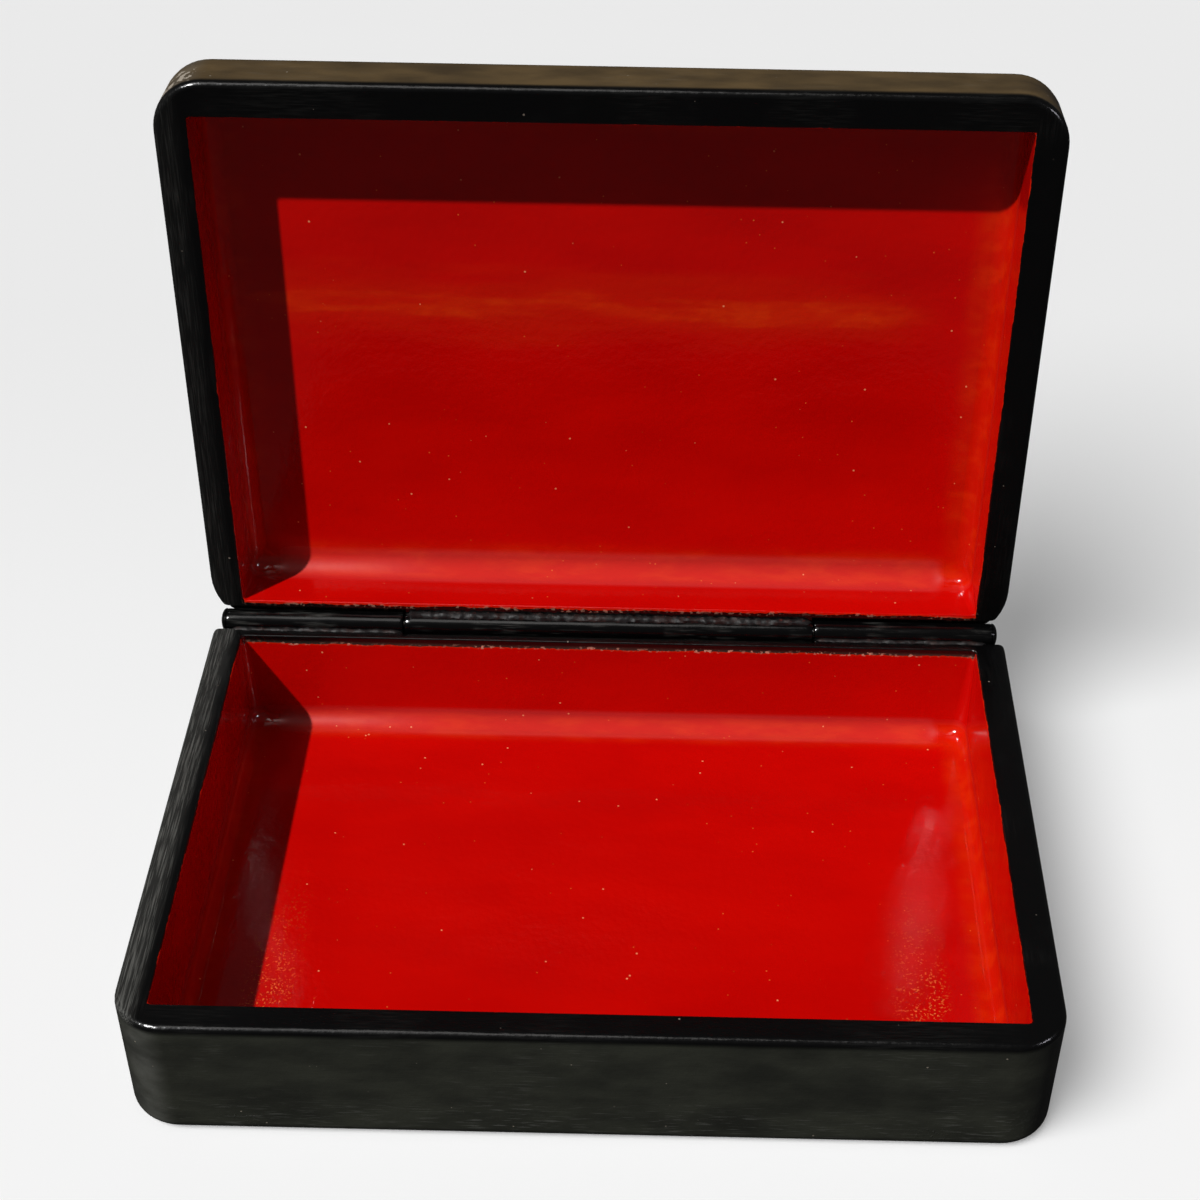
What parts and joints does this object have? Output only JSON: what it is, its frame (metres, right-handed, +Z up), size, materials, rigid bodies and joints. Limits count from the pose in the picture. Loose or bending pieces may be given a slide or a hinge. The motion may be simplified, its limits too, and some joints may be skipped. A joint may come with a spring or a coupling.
{
  "type": "trinket box",
  "caption": "Small rectangular lacquer box with a hinged lid, black outside and vermilion inside, rounded corners and a rear tube hinge on a pin.",
  "frame": {"origin": "centre of the underside, the flat face that the box stands on", "axes": "+Z up, -Y to the front where the lid opens, +X to the right along the hinge"},
  "size_m": [0.15, 0.1247, 0.1284],
  "materials": {
    "black_lacquer": "hand-polished black lacquer",
    "red_lacquer": "glossy vermilion lacquer",
    "pin_wire": "drawn wire"
  },
  "bodies": {
    "base": {"base_wall_frame": "black_lacquer", "base_bottom_board": "red_lacquer", "hinge_knuckle_left": "black_lacquer", "hinge_knuckle_right": "black_lacquer", "hinge_end_seal_left": "black_lacquer", "hinge_end_seal_right": "black_lacquer", "hinge_pin": "pin_wire"},
    "lid": {"lid_wall_frame": "black_lacquer", "lid_top_board": "red_lacquer", "hinge_knuckle_centre": "black_lacquer"}
  },
  "joints": [
    {"name": "lid_hinge", "type": "hinge", "parent": "base", "child": "lid", "pos_m": [0, 0.0511, 0.02458], "axis": [-1, 0, 0], "range_deg": [-93.5, 0]}
  ]
}
